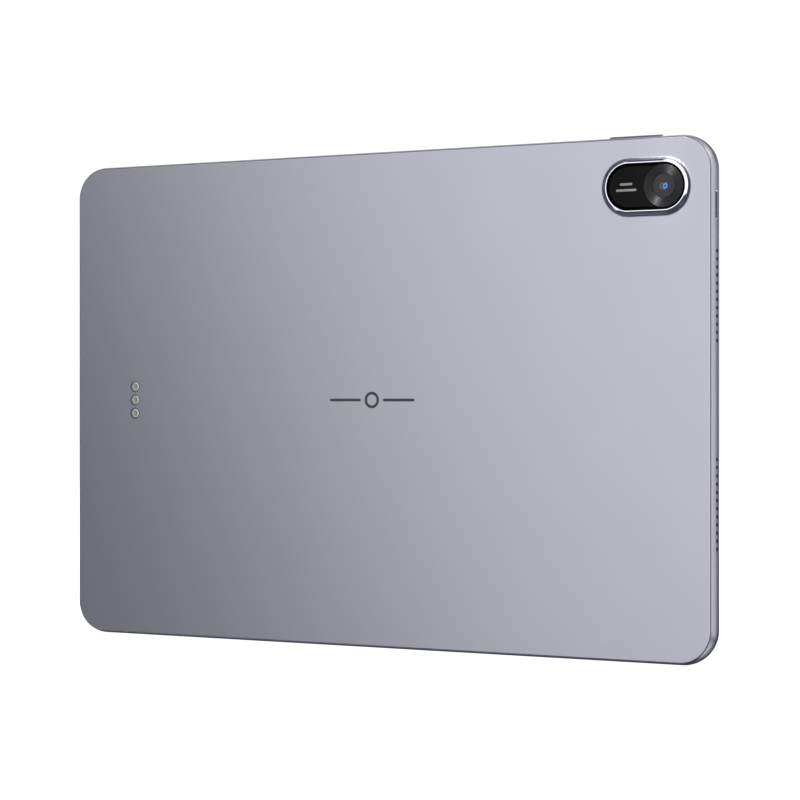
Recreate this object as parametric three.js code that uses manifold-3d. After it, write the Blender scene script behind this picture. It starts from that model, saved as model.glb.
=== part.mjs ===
// A tablet computer of the 11.5-inch class, in millimetres, as an assembly of separate pieces.
// It is laid out flat and then stood on its lower long edge. Laid out flat, x runs along the long side,
// y up the short side and z from the back cover to the screen, all from the middle of the body. Stood up,
// +Z is up, +Y points out of the back cover, and the origin is the middle of the lower long edge.
import * as THREE from "three";
import { mergeVertices } from "three/addons/utils/BufferGeometryUtils.js";
import Module from "manifold-3d";

const wasm = await Module();
wasm.setup();

// Body
const bodyLength = 260.88;
const bodyHeight = 176.82;
const bodyThickness = 6.85;
const cornerRadius = 12;

// Housing: a metal tray with a thinner rim beside the display
const backWall = 0.85;
const sideWall = 2.2;
const rimWall = 1;
const glassProud = 0.25;
const backEdge = { inset: 1.1, rise: 1.4 };
const frontEdge = { inset: 0.35, rise: 0.6 };

// Clearances: between stacked layers, between a piece and its seat, and before a part that is pressed
const layerGap = 0.05;
const seatGap = 0.1;
const pressGap = 0.3;

// Display, from the front
const glass = { thickness: 0.7, seam: 0.1, edge: { inset: 0.2, rise: 0.2 } };
const frameLip = 0.45;
const frameLedge = { width: 1.95, thickness: 0.6 };
const adhesive = { thickness: 0.15, margin: 0.2 };
const lcd = { inset: 7.3, thickness: 0.5, radius: 4 };
const backlight = { inset: 8.05, thickness: 1.1, radius: 4 };
const graphite = { thickness: 0.1, margin: 4 };

// Features in the side walls share one level, this far in front of the middle of the thickness
const edgeLevel = 0.195;

// Rear camera: a raised stadium ring, a dark window, and a round lens at the outer end
const cameraFromSide = 23.74;
const cameraFromTop = 17.01;
const cameraWindow = { length: 28.3, width: 15.4, thickness: 0.7, sunk: 0.1, ledge: 1 };
const bump = { ringWidth: 2.08, rise: 1.2, edge: { inset: 0.45, rise: 0.45 }, flange: 1.2, lip: 0.4 };
const decoRing = { radius: 7.15, bore: 4.15, dish: 0.3, rimDepth: 0.6, seat: 0.75, seatDepth: 0.35 };
const lensCover = { radius: 4.05, thickness: 0.25 };
const cameraModule = { side: 8.6, base: 0.6, roof: 0.3, bore: 3.45, mouth: 2.85 };
const lensBarrel = { radius: 3.2, length: 2.3, noseRadius: 2.4, noseLength: 0.75 };
const focus = { travel: 0.3, standoff: 0.2 };
const cameraFlex = { width: 5, length: 8.6 };

// Keys: a cap through the wall and a wider flange behind it
const powerKey = { name: "power_key", fromTop: 23.77, length: 9.95, proud: 0.3 };
const volumeKey = { name: "volume_key", fromSide: 29.14, length: 20.1, proud: 0.5 };
const keyWidth = 2.2;
const keySlotGap = 0.12;
const keyFlange = { overhang: 0.8, thickness: 0.5 };
const keySwitch = { length: 3.6, width: 2.4, body: 0.7, domeRadius: 0.9, dome: 0.25, fromEnd: 3.55 };
const keyBracket = { overhang: 1.5, width: 3, thickness: 0.6 };

// Speakers: rows of round holes, a dust mesh behind them, and a box with a duct
const speakerHole = { radius: 0.7, pitch: 2.7, count: 12 };
const dustMesh = { margin: 0.5, width: 2.2, thickness: 0.15 };
const speakerBox = { wall: 0.6, snout: 4, depth: 14, step: 1 };
const speakerDuct = { width: 1.5, depth: 5 };

// Charging port
const portMouth = { length: 8.94, width: 2.9 };
const portShell = { length: 8.94, width: 3.16, wall: 0.28, reach: 7.9 };
const portTongue = { length: 6.69, thickness: 0.7, reach: 4.45, base: 1 };
const portBoard = { length: 22, depth: 15.5 };

// Microphones
const microphone = { holeRadius: 0.5, length: 3.5, width: 2.65, thickness: 1 };
const topMicrophoneFromSide = 46.44;
const sideMicrophoneFromTop = 26.41;

// Accessory contacts on the back cover
const contact = { fromSide: 26.94, pitch: 5, radius: 1.7, head: 0.7, stemRadius: 0.8 };
const contactCollar = { radius: 2.05, plate: 0.6, overhang: 2 };
const contactBoard = { length: 19, width: 9, thickness: 0.4 };

// Boards, chips and shields
const boardThickness = 0.8;
const boardLift = 0.95;
const mainBoard = { fromCamera: 1.85, width: 30, topMargin: 8.41, bottomMargin: 27, radius: 2 };
const shield = { wall: 0.2, height: 1.3, fromTop: 18, between: 3 };
const shields = [
  { name: "shield_radio", length: 20, width: 16, chip: "radio_chip", chipSide: 6 },
  { name: "shield_processor", length: 25, width: 36, chip: "main_processor", chipSide: 14 },
  { name: "shield_power", length: 25, width: 30, chip: "power_chip", chipSide: 7 },
];
const chipThickness = 0.8;
const screw = { head: 1.3, headHeight: 0.5, shank: 0.55, reach: 1.4, fromEdge: 3 };
const boss = { radius: 1.6, bore: 0.7 };
const boardHole = 0.85;

// Battery
const battery = { swelling: 0.25, margin: 36.41, fromContacts: 3, between: 2, radius: 2 };
const protectionBoard = { length: 4, height: 40, thickness: 1.2, gap: 1.5 };

// Flexible circuits
const flexThickness = 0.12;
const mainFlex = { width: 6, riser: 4, gap: 3, tab: 5, fromBoard: 0.3 };
const displayFlex = { width: 24, reach: 32, bend: 0.25 };

// Front camera and light sensor, in the bezel above the screen's active area
const frontCamera = { side: 5.6, depth: 2.4, barrel: 1.5 };
const lightSensor = { x: -12, length: 2.2, width: 1.6, thickness: 0.8 };

// Antennas inside the top wall and cover magnets inside the bottom wall
const antenna = { x: 32, length: 40, depth: 2.2, width: 3 };
const magnet = { x: 55, length: 20, depth: 3, width: 2 };

// Facets: straight steps for each curve division, round pieces and holes
const arcSteps = 3;
const roundSteps = 24;
const smallRoundSteps = 12;
const holeSteps = 8;

// Levels across the thickness, from the outside of the back cover to the front of the glass
const backFace = -bodyThickness / 2;
const screenFace = bodyThickness / 2;
const floorLevel = backFace + backWall;
const rimLevel = screenFace - glassProud;
const glassBack = screenFace - glass.thickness;
const adhesiveBack = glassBack - layerGap - adhesive.thickness;
const ledgeFront = adhesiveBack - layerGap;
const ledgeBack = ledgeFront - frameLedge.thickness;
const shelfLevel = ledgeBack - layerGap;
const lcdBack = glassBack - layerGap - lcd.thickness;
const backlightBack = lcdBack - layerGap - backlight.thickness;
const graphiteBack = backlightBack - layerGap - graphite.thickness;
const boardBack = floorLevel + boardLift;
const boardFront = boardBack + boardThickness;
const portBoardBack = edgeLevel - portShell.width / 2 - seatGap - boardThickness;
const frameOuter = rimWall + seatGap;
const ledgeInner = frameOuter + frameLip + frameLedge.width;
const glassInset = frameOuter + frameLip + glass.seam;
const beyond = bodyThickness;

// Places across the face of the body
const cameraX = cameraFromSide - bodyLength / 2;
const cameraY = bodyHeight / 2 - cameraFromTop;
const bumpLength = cameraWindow.length + 2 * bump.ringWidth;
const bumpWidth = cameraWindow.width + 2 * bump.ringWidth;
const lensX = cameraX - (cameraWindow.length - cameraWindow.width) / 2;
const powerKeyY = bodyHeight / 2 - powerKey.fromTop;
const volumeKeyX = volumeKey.fromSide - bodyLength / 2;
const contactX = bodyLength / 2 - contact.fromSide;
const holeRow = (speakerHole.count - 1) * speakerHole.pitch + 2 * speakerHole.radius;
const powerBracketEnd = powerKeyY - powerKey.length / 2 - keyBracket.overhang;
const speakerY = (powerBracketEnd + portBoard.length / 2) / 2;
const boardLeft = lensX + cameraModule.side / 2 + mainBoard.fromCamera;
const boardRight = boardLeft + mainBoard.width;
const boardTop = bodyHeight / 2 - mainBoard.topMargin;
const boardBottom = mainBoard.bottomMargin - bodyHeight / 2;
const batteryLeft = boardRight + 2 * protectionBoard.gap + protectionBoard.length;
const batteryRight = contactX - contactBoard.width / 2 - battery.fromContacts;
const batteryHeight = bodyHeight - 2 * battery.margin;
const frontSensorY = bodyHeight / 2 - sideWall - pressGap - frontCamera.side / 2;

const paints = {
  anodised: { color: 0xb9b9c6, metalness: 1, roughness: 0.5 },
  spun: { color: 0x4a4a4e, metalness: 1, roughness: 0.35 },
  blackGlass: { color: 0x08080a, metalness: 0, roughness: 0.08 },
  coatedLens: { color: 0x101626, metalness: 0, roughness: 0.05 },
  blackPlastic: { color: 0x17171a, metalness: 0, roughness: 0.5 },
  warmPlastic: { color: 0x8d8d93, metalness: 0, roughness: 0.5 },
  padMetal: { color: 0xafb0a8, metalness: 1, roughness: 0.4 },
  steel: { color: 0xa8a9ad, metalness: 1, roughness: 0.35 },
  boardGreen: { color: 0x1f3a2a, metalness: 0, roughness: 0.45 },
  chipBlack: { color: 0x1c1c1e, metalness: 0, roughness: 0.55 },
  foil: { color: 0x2a2b2e, metalness: 0, roughness: 0.5 },
  amberFilm: { color: 0xa8642a, metalness: 0, roughness: 0.4 },
  graphiteSheet: { color: 0x2d2d30, metalness: 0.4, roughness: 0.5 },
  whiteFilm: { color: 0xd8dade, metalness: 0, roughness: 0.4 },
  tape: { color: 0x202022, metalness: 0, roughness: 0.7 },
  fineMesh: { color: 0x0e0e10, metalness: 0, roughness: 0.9 },
  magnetNickel: { color: 0xb2b0aa, metalness: 1, roughness: 0.3 },
};

const screenward = new THREE.Vector3(0, 0, 1);
const sides = {
  camera: new THREE.Vector3(-1, 0, 0),
  port: new THREE.Vector3(1, 0, 0),
  top: new THREE.Vector3(0, 1, 0),
  bottom: new THREE.Vector3(0, -1, 0),
};

const tablet = new THREE.Group();
tablet.rotation.x = Math.PI / 2;
tablet.position.z = bodyHeight / 2;

// Solids and cuts

function toSolid(geometry) {
  const bare = geometry.clone();
  bare.deleteAttribute("normal");
  bare.deleteAttribute("uv");
  const merged = mergeVertices(bare);
  return new wasm.Manifold(
    new wasm.Mesh({
      numProp: 3,
      vertProperties: merged.attributes.position.array,
      triVerts: new Uint32Array(merged.index.array),
    }),
  );
}

function toGeometry(solid) {
  const mesh = solid.getMesh();
  const geometry = new THREE.BufferGeometry();
  geometry.setAttribute("position", new THREE.BufferAttribute(mesh.vertProperties, mesh.numProp));
  geometry.setIndex(new THREE.BufferAttribute(mesh.triVerts, 1));
  return geometry;
}

function combine(base, others, step) {
  return toGeometry(others.reduce((left, other) => left[step](toSolid(other)), toSolid(base)));
}

const cut = (base, ...tools) => combine(base, tools, "subtract");
const join = (base, ...extras) => combine(base, extras, "add");
const overlapOf = (base, ...others) => combine(base, others, "intersect");

function addPiece(name, geometry, paint, place) {
  const material = new THREE.MeshStandardMaterial(paint);
  const mesh = new THREE.Mesh(geometry, material);
  mesh.name = name;
  if (place) mesh.applyMatrix4(place);
  tablet.add(mesh);
}

// Outlines and simple solids, all standing along z

function roundedRect(length, width, radius) {
  const x = length / 2 - radius;
  const y = width / 2 - radius;
  const quarter = Math.PI / 2;
  const shape = new THREE.Shape();
  shape.absarc(x, y, radius, 0, quarter);
  shape.absarc(-x, y, radius, quarter, 2 * quarter);
  shape.absarc(-x, -y, radius, 2 * quarter, 3 * quarter);
  shape.absarc(x, -y, radius, 3 * quarter, 4 * quarter);
  return shape;
}

function stadium(length, width) {
  const reach = (length - width) / 2;
  const quarter = Math.PI / 2;
  const shape = new THREE.Shape();
  for (const [x, start] of [[reach, -quarter], [reach, 0], [-reach, quarter], [-reach, 2 * quarter]]) {
    shape.absarc(x, 0, width / 2, start, start + quarter);
  }
  return shape;
}

function bodyOutline(inset) {
  return roundedRect(bodyLength - 2 * inset, bodyHeight - 2 * inset, cornerRadius - inset);
}

function prism(shape, low, high, x = 0, y = 0) {
  const options = { depth: high - low, bevelEnabled: false, curveSegments: arcSteps };
  return new THREE.ExtrudeGeometry(shape, options).translate(x, y, low);
}

function roundedPrism(shape, low, high, { inset, rise }) {
  const options = {
    depth: high - low - 2 * rise,
    bevelThickness: rise,
    bevelSize: inset,
    bevelOffset: -inset,
    bevelSegments: arcSteps,
    curveSegments: arcSteps,
  };
  return new THREE.ExtrudeGeometry(shape, options).translate(0, 0, low + rise);
}

function block(length, width, low, high, x = 0, y = 0) {
  return new THREE.BoxGeometry(length, width, high - low).translate(x, y, (low + high) / 2);
}

function disc(radius, low, high, x = 0, y = 0, steps = roundSteps) {
  const cylinder = new THREE.CylinderGeometry(radius, radius, high - low, steps);
  return cylinder.rotateX(Math.PI / 2).translate(x, y, (low + high) / 2);
}

function turned(points, x, y) {
  const profile = points.map(([radius, level]) => new THREE.Vector2(radius, level));
  profile.push(profile[0].clone());
  return new THREE.LatheGeometry(profile, roundSteps).rotateX(Math.PI / 2).translate(x, y, 0);
}

// A place on a side wall: x along the wall, y towards the screen, z outwards, from the outside of the wall
function edgePlace(out, at) {
  const along = new THREE.Vector3().crossVectors(screenward, out);
  const middle = out.x === 0 ? new THREE.Vector3(at, 0, edgeLevel) : new THREE.Vector3(0, at, edgeLevel);
  const reach = out.x === 0 ? bodyHeight / 2 : bodyLength / 2;
  middle.addScaledVector(out, reach);
  return new THREE.Matrix4().makeBasis(along, screenward, out).setPosition(middle);
}

const powerPlace = edgePlace(sides.camera, powerKeyY);
const volumePlace = edgePlace(sides.top, volumeKeyX);
const portPlace = edgePlace(sides.port, 0);
const topMicrophonePlace = edgePlace(sides.top, topMicrophoneFromSide - bodyLength / 2);
const sideMicrophonePlace = edgePlace(sides.port, bodyHeight / 2 - sideMicrophoneFromTop);
const speakers = [
  { name: "camera_side_upper", place: edgePlace(sides.camera, speakerY) },
  { name: "camera_side_lower", place: edgePlace(sides.camera, -speakerY) },
  { name: "port_side_upper", place: edgePlace(sides.port, speakerY) },
  { name: "port_side_lower", place: edgePlace(sides.port, -speakerY) },
];
const screws = [
  { name: "board_screw_upper", x: boardRight - screw.fromEdge, y: boardTop - screw.fromEdge },
  { name: "board_screw_lower_outer", x: boardLeft + screw.fromEdge, y: boardBottom + screw.fromEdge },
  { name: "board_screw_lower_inner", x: boardRight - screw.fromEdge, y: boardBottom + screw.fromEdge },
];
const contacts = [
  { name: "contact_pad_upper", y: contact.pitch },
  { name: "contact_pad_middle", y: 0 },
  { name: "contact_pad_lower", y: -contact.pitch },
];

// Housing

function housingTray() {
  const roundedBack = roundedPrism(bodyOutline(0), backFace, rimLevel + beyond, backEdge);
  const roundedFront = roundedPrism(bodyOutline(0), backFace - beyond, rimLevel, frontEdge);
  const cavity = prism(bodyOutline(sideWall), floorLevel, rimLevel + beyond);
  const displayRecess = prism(bodyOutline(rimWall), shelfLevel, rimLevel + beyond);
  return cut(overlapOf(roundedBack, roundedFront), cavity, displayRecess);
}

function keySlot(key, place) {
  const slot = stadium(key.length + 2 * keySlotGap, keyWidth + 2 * keySlotGap);
  return prism(slot, -sideWall - beyond / 2, beyond / 2).applyMatrix4(place);
}

function speakerHoles(place) {
  const holes = [];
  for (let i = 0; i < speakerHole.count; i += 1) {
    const x = (i - (speakerHole.count - 1) / 2) * speakerHole.pitch;
    const hole = disc(speakerHole.radius, -sideWall - beyond / 2, beyond / 2, x, 0, holeSteps);
    holes.push(hole.applyMatrix4(place));
  }
  return holes;
}

function microphoneHole(place) {
  const hole = disc(microphone.holeRadius, -sideWall - beyond / 2, beyond / 2, 0, 0, holeSteps);
  return hole.applyMatrix4(place);
}

function makeHousing() {
  const bossTop = boardBack - layerGap;
  const bossFoot = backFace + backWall / 2;
  const bosses = screws.map(({ x, y }) => disc(boss.radius, bossFoot, bossTop, x, y, smallRoundSteps));
  const bossBores = screws.map(({ x, y }) => disc(boss.bore, floorLevel, beyond, x, y, smallRoundSteps));
  const cameraHole = stadium(bumpLength + 2 * layerGap, bumpWidth + 2 * layerGap);
  const collarHoles = contacts.map(({ y }) => {
    return disc(contactCollar.radius + layerGap, backFace - beyond, beyond, contactX, y);
  });
  const mouth = stadium(portMouth.length, portMouth.width);
  const housing = cut(
    join(housingTray(), ...bosses),
    ...bossBores,
    prism(cameraHole, backFace - beyond, beyond, cameraX, cameraY),
    ...collarHoles,
    prism(mouth, -sideWall - beyond / 2, beyond / 2).applyMatrix4(portPlace),
    keySlot(powerKey, powerPlace),
    keySlot(volumeKey, volumePlace),
    microphoneHole(topMicrophonePlace),
    microphoneHole(sideMicrophonePlace),
    ...speakers.flatMap(({ place }) => speakerHoles(place)),
  );
  addPiece("back_housing", housing, paints.anodised);
}

// Rear camera: the ring stands through the back cover and hooks behind it with a flange

function makeCameraRing(bumpTop, ledgeLevel) {
  const flangeBack = floorLevel + layerGap;
  const flangeFront = flangeBack + bump.lip;
  const flange = stadium(bumpLength + 2 * bump.flange, bumpWidth + 2 * bump.flange);
  const recess = stadium(cameraWindow.length + 2 * seatGap, cameraWindow.width + 2 * seatGap);
  const throat = stadium(
    cameraWindow.length - 2 * cameraWindow.ledge,
    cameraWindow.width - 2 * cameraWindow.ledge,
  );
  const crown = overlapOf(
    roundedPrism(stadium(bumpLength, bumpWidth), bumpTop, flangeFront + beyond, bump.edge),
    prism(flange, bumpTop - beyond, flangeFront),
  );
  const ring = cut(
    join(crown, prism(flange, flangeBack, flangeFront)),
    prism(recess, bumpTop - beyond, ledgeLevel),
    prism(throat, bumpTop, beyond),
  );
  addPiece("camera_bezel_ring", ring.translate(cameraX, cameraY, 0), paints.anodised);
}

function makeDecoRing(windowBack, windowFront, coverSeat, ringFoot) {
  const footRadius = cameraWindow.width / 2 - cameraWindow.ledge - seatGap;
  const seatRadius = decoRing.bore - decoRing.seat;
  const profile = [
    [decoRing.bore, windowBack + decoRing.dish],
    [decoRing.radius, windowBack],
    [decoRing.radius, windowFront],
    [footRadius, windowFront],
    [footRadius, ringFoot],
    [seatRadius, ringFoot],
    [seatRadius, coverSeat],
    [decoRing.bore, coverSeat],
  ];
  addPiece("camera_deco_ring", turned(profile, lensX, cameraY), paints.spun);
}

function makeLensAndModule(coverSeat) {
  const noseTip = coverSeat + focus.standoff + focus.travel;
  const shoulder = noseTip + lensBarrel.noseLength;
  const barrelEnd = shoulder + lensBarrel.length;
  const barrel = join(
    disc(lensBarrel.noseRadius, noseTip, shoulder + layerGap, lensX, cameraY),
    disc(lensBarrel.radius, shoulder, barrelEnd, lensX, cameraY),
  );
  addPiece("rear_lens_barrel", barrel, paints.blackPlastic);

  const roofFront = shoulder - focus.travel - seatGap;
  const moduleBack = roofFront - cameraModule.roof;
  const boreEnd = barrelEnd + seatGap;
  const module = cut(
    block(cameraModule.side, cameraModule.side, moduleBack, boreEnd + cameraModule.base, lensX, cameraY),
    disc(cameraModule.mouth, moduleBack - beyond, roofFront + layerGap, lensX, cameraY),
    disc(cameraModule.bore, roofFront, boreEnd, lensX, cameraY),
  );
  addPiece("rear_camera_module", module, paints.steel);

  const flexBack = boardFront + layerGap;
  const flexX = lensX + cameraModule.side / 2 + seatGap + cameraFlex.length / 2;
  const flex = block(cameraFlex.length, cameraFlex.width, flexBack, flexBack + flexThickness, flexX, cameraY);
  addPiece("rear_camera_flex", flex, paints.amberFilm);
}

function makeCamera() {
  const bumpTop = backFace - bump.rise;
  const windowBack = bumpTop + cameraWindow.sunk;
  const windowFront = windowBack + cameraWindow.thickness;
  const coverSeat = windowBack + decoRing.rimDepth;
  makeCameraRing(bumpTop, windowFront + layerGap);

  const paneOutline = stadium(cameraWindow.length, cameraWindow.width);
  const pane = prism(paneOutline, windowBack, windowFront, cameraX, cameraY);
  const paneBore = disc(decoRing.radius + seatGap, windowBack - beyond, windowFront + beyond, lensX, cameraY);
  addPiece("camera_window", cut(pane, paneBore), paints.blackGlass);
  makeDecoRing(windowBack, windowFront, coverSeat, coverSeat + decoRing.seatDepth);

  const coverFront = coverSeat - layerGap;
  const cover = disc(lensCover.radius, coverFront - lensCover.thickness, coverFront, lensX, cameraY);
  addPiece("lens_cover", cover, paints.coatedLens);
  makeLensAndModule(coverSeat);
}

// Keys, each with its switches and a bracket behind them

function makeKey(key, place, switches) {
  const flangeOuter = -sideWall - pressGap;
  const flangeInner = flangeOuter - keyFlange.thickness;
  const flangeLength = key.length + 2 * keyFlange.overhang;
  const cap = prism(stadium(key.length, keyWidth), flangeOuter - layerGap, key.proud);
  const flange = block(flangeLength, keyWidth, flangeInner, flangeOuter);
  addPiece(key.name, join(cap, flange), paints.anodised, place);

  const domeTop = flangeInner - pressGap;
  const switchTop = domeTop - keySwitch.dome;
  const switchBack = switchTop - keySwitch.body;
  for (const { name, x } of switches) {
    const body = block(keySwitch.length, keySwitch.width, switchBack, switchTop, x);
    const dome = disc(keySwitch.domeRadius, switchTop - layerGap, domeTop, x, 0, smallRoundSteps);
    addPiece(name, join(body, dome), paints.steel, place);
  }

  const bracketTop = switchBack - layerGap;
  const bracketLength = key.length + 2 * keyBracket.overhang;
  const bracket = block(bracketLength, keyBracket.width, bracketTop - keyBracket.thickness, bracketTop);
  addPiece(key.name + "_bracket", bracket, paints.steel, place);
}

function makeKeys() {
  makeKey(powerKey, powerPlace, [{ name: "power_switch", x: 0 }]);
  const spread = volumeKey.length / 2 - keySwitch.fromEnd;
  makeKey(volumeKey, volumePlace, [
    { name: "volume_up_switch", x: spread },
    { name: "volume_down_switch", x: -spread },
  ]);
}

// Speakers

function makeSpeakers() {
  const meshTop = -sideWall - layerGap;
  const boxTop = meshTop - dustMesh.thickness - layerGap;
  const snoutBack = boxTop - speakerBox.snout;
  const boxLength = holeRow + 2 * speakerBox.wall;
  const low = floorLevel + seatGap - edgeLevel;
  const high = shelfLevel - seatGap - edgeLevel;
  const stepHigh = high - speakerBox.step;
  const snoutMiddle = (low + high) / 2;
  const chamberMiddle = (low + stepHigh) / 2;
  for (const { name, place } of speakers) {
    const mesh = block(holeRow + 2 * dustMesh.margin, dustMesh.width, meshTop - dustMesh.thickness, meshTop);
    addPiece("speaker_mesh_" + name, mesh, paints.fineMesh, place);
    const box = join(
      block(boxLength, high - low, snoutBack, boxTop, 0, snoutMiddle),
      block(boxLength, stepHigh - low, boxTop - speakerBox.depth, snoutBack + layerGap, 0, chamberMiddle),
    );
    const duct = block(holeRow, speakerDuct.width, boxTop - speakerDuct.depth, boxTop + beyond);
    addPiece("speaker_" + name, cut(box, duct), paints.blackPlastic, place);
  }
}

// Charging port and its board

function makePort() {
  const shellTop = -sideWall - seatGap;
  const shellInside = [portShell.length - 2 * portShell.wall, portShell.width - 2 * portShell.wall];
  const shell = cut(
    prism(stadium(portShell.length, portShell.width), -portShell.reach, shellTop),
    prism(stadium(...shellInside), -portShell.reach - beyond, shellTop + beyond),
  );
  addPiece("usb_shell", shell, paints.steel, portPlace);

  const baseTop = portTongue.base - portShell.reach;
  const base = shellInside.map((size) => size - 2 * seatGap);
  const tongue = join(
    prism(stadium(...base), -portShell.reach, baseTop),
    block(portTongue.length, portTongue.thickness, baseTop - layerGap, baseTop + portTongue.reach),
  );
  addPiece("usb_tongue", tongue, paints.blackPlastic, portPlace);

  const board = new THREE.BoxGeometry(portBoard.length, boardThickness, portBoard.depth);
  const boardMiddle = portBoardBack + boardThickness / 2 - edgeLevel;
  board.translate(0, boardMiddle, -sideWall - seatGap - portBoard.depth / 2);
  addPiece("port_board", board, paints.boardGreen, portPlace);
}

// Microphones, behind holes in the top wall and in the port side wall

function makeMicrophones() {
  const top = -sideWall - layerGap;
  const can = () => block(microphone.length, microphone.width, top - microphone.thickness, top);
  addPiece("microphone_top", can(), paints.steel, topMicrophonePlace);
  addPiece("microphone_side", can(), paints.steel, sideMicrophonePlace);
}

// Accessory contacts: three pads, each in a collar of one plastic insulator, with a small board behind

function makeContacts() {
  const padInside = backFace + contact.head;
  const plateBack = floorLevel + layerGap;
  const plateFront = plateBack + contactCollar.plate;
  const plateRadius = contactCollar.radius + contactCollar.overhang;
  const plateOutline = stadium(2 * contact.pitch + 2 * plateRadius, 2 * plateRadius);
  const plate = prism(plateOutline, plateBack, plateFront).rotateZ(Math.PI / 2).translate(contactX, 0, 0);
  const collars = contacts.map(({ y }) => disc(contactCollar.radius, backFace, plateFront, contactX, y));
  const bores = contacts.flatMap(({ y }) => [
    disc(contact.radius + layerGap, backFace - beyond, padInside + layerGap, contactX, y),
    disc(contact.stemRadius + layerGap, backFace, beyond, contactX, y, smallRoundSteps),
  ]);
  addPiece("contact_insulator", cut(join(plate, ...collars), ...bores), paints.warmPlastic);

  const stemEnd = plateFront + layerGap;
  for (const { name, y } of contacts) {
    const pad = join(
      disc(contact.radius, backFace, padInside, contactX, y),
      disc(contact.stemRadius, padInside - layerGap, stemEnd, contactX, y, smallRoundSteps),
    );
    addPiece(name, pad, paints.padMetal);
  }

  const boardStart = stemEnd + layerGap;
  const boardEnd = boardStart + contactBoard.thickness;
  const board = block(contactBoard.width, contactBoard.length, boardStart, boardEnd, contactX, 0);
  addPiece("contact_board", board, paints.boardGreen);
}

// Main board, shields, chips and screws

function makeShields(x, foot) {
  let top = boardTop - shield.fromTop;
  for (const can of shields) {
    const y = top - can.width / 2;
    const roof = foot + shield.height;
    const inside = [can.length - 2 * shield.wall, can.width - 2 * shield.wall];
    const shell = cut(
      block(can.length, can.width, foot, roof, x, y),
      block(...inside, foot - beyond, roof - shield.wall, x, y),
    );
    addPiece(can.name, shell, paints.steel);
    addPiece(can.chip, block(can.chipSide, can.chipSide, foot, foot + chipThickness, x, y), paints.chipBlack);
    top -= can.width + shield.between;
  }
}

function makeBoard() {
  const x = (boardRight + boardLeft) / 2;
  const y = (boardTop + boardBottom) / 2;
  const outline = roundedRect(mainBoard.width, boardTop - boardBottom, mainBoard.radius);
  const low = boardBack - beyond;
  const high = boardFront + beyond;
  const holes = screws.map((at) => disc(boardHole, low, high, at.x, at.y, smallRoundSteps));
  addPiece("main_board", cut(prism(outline, boardBack, boardFront, x, y), ...holes), paints.boardGreen);

  const foot = boardFront + layerGap;
  makeShields(x, foot);
  for (const at of screws) {
    const body = join(
      disc(screw.head, foot, foot + screw.headHeight, at.x, at.y, smallRoundSteps),
      disc(screw.shank, foot - screw.reach, foot + layerGap, at.x, at.y, smallRoundSteps),
    );
    addPiece(at.name, body, paints.steel);
  }
}

// Battery: two pouch cells and their protection board

function makeBattery() {
  const back = floorLevel + seatGap;
  const cellLength = (batteryRight - batteryLeft - battery.between) / 2;
  const outline = roundedRect(cellLength, batteryHeight, battery.radius);
  const cell = () => prism(outline, back, graphiteBack - battery.swelling);
  addPiece("battery_cell_left", cell().translate(batteryLeft + cellLength / 2, 0, 0), paints.foil);
  addPiece("battery_cell_right", cell().translate(batteryRight - cellLength / 2, 0, 0), paints.foil);
  const boardX = boardRight + protectionBoard.gap + protectionBoard.length / 2;
  const boardEnd = back + protectionBoard.thickness;
  const board = block(protectionBoard.length, protectionBoard.height, back, boardEnd, boardX, 0);
  addPiece("battery_protection_board", board, paints.boardGreen);
}

// Flexible circuits: one below the battery to the port board, one folded round the display's lower edge

function makeFlexes() {
  const high = portBoardBack - layerGap;
  const bottomEdge = -batteryHeight / 2 - mainFlex.gap - mainFlex.width;
  const topEdge = bottomEdge + mainFlex.width;
  const riserRight = bodyLength / 2 - sideWall - speakerBox.depth - mainFlex.gap / 2;
  const riserLeft = riserRight - mainFlex.riser;
  const leftEdge = boardRight + mainFlex.fromBoard;
  const tabBottom = -portBoard.length / 2;
  const outline = new THREE.Shape();
  outline.moveTo(leftEdge, bottomEdge);
  outline.lineTo(riserRight, bottomEdge);
  outline.lineTo(riserRight, tabBottom);
  outline.lineTo(riserRight + mainFlex.tab, tabBottom);
  outline.lineTo(riserRight + mainFlex.tab, tabBottom + mainFlex.tab);
  outline.lineTo(riserLeft, tabBottom + mainFlex.tab);
  outline.lineTo(riserLeft, topEdge);
  outline.lineTo(leftEdge, topEdge);
  addPiece("main_flex", prism(outline, high - flexThickness, high), paints.amberFilm);

  const x = (boardRight + boardLeft) / 2;
  const outer = lcd.inset - displayFlex.bend - bodyHeight / 2;
  const start = outer - flexThickness;
  const tail = backlightBack - layerGap - flexThickness;
  const flex = join(
    block(displayFlex.width, flexThickness, tail, lcdBack, x, outer - flexThickness / 2),
    block(displayFlex.width, displayFlex.reach, tail, tail + flexThickness, x, start + displayFlex.reach / 2),
  );
  addPiece("display_flex", flex, paints.amberFilm);
}

// Display stack

function ringPrism(outerInset, innerInset, low, high) {
  const inside = prism(bodyOutline(innerInset), low - beyond, high + beyond);
  return cut(prism(bodyOutline(outerInset), low, high), inside);
}

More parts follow.
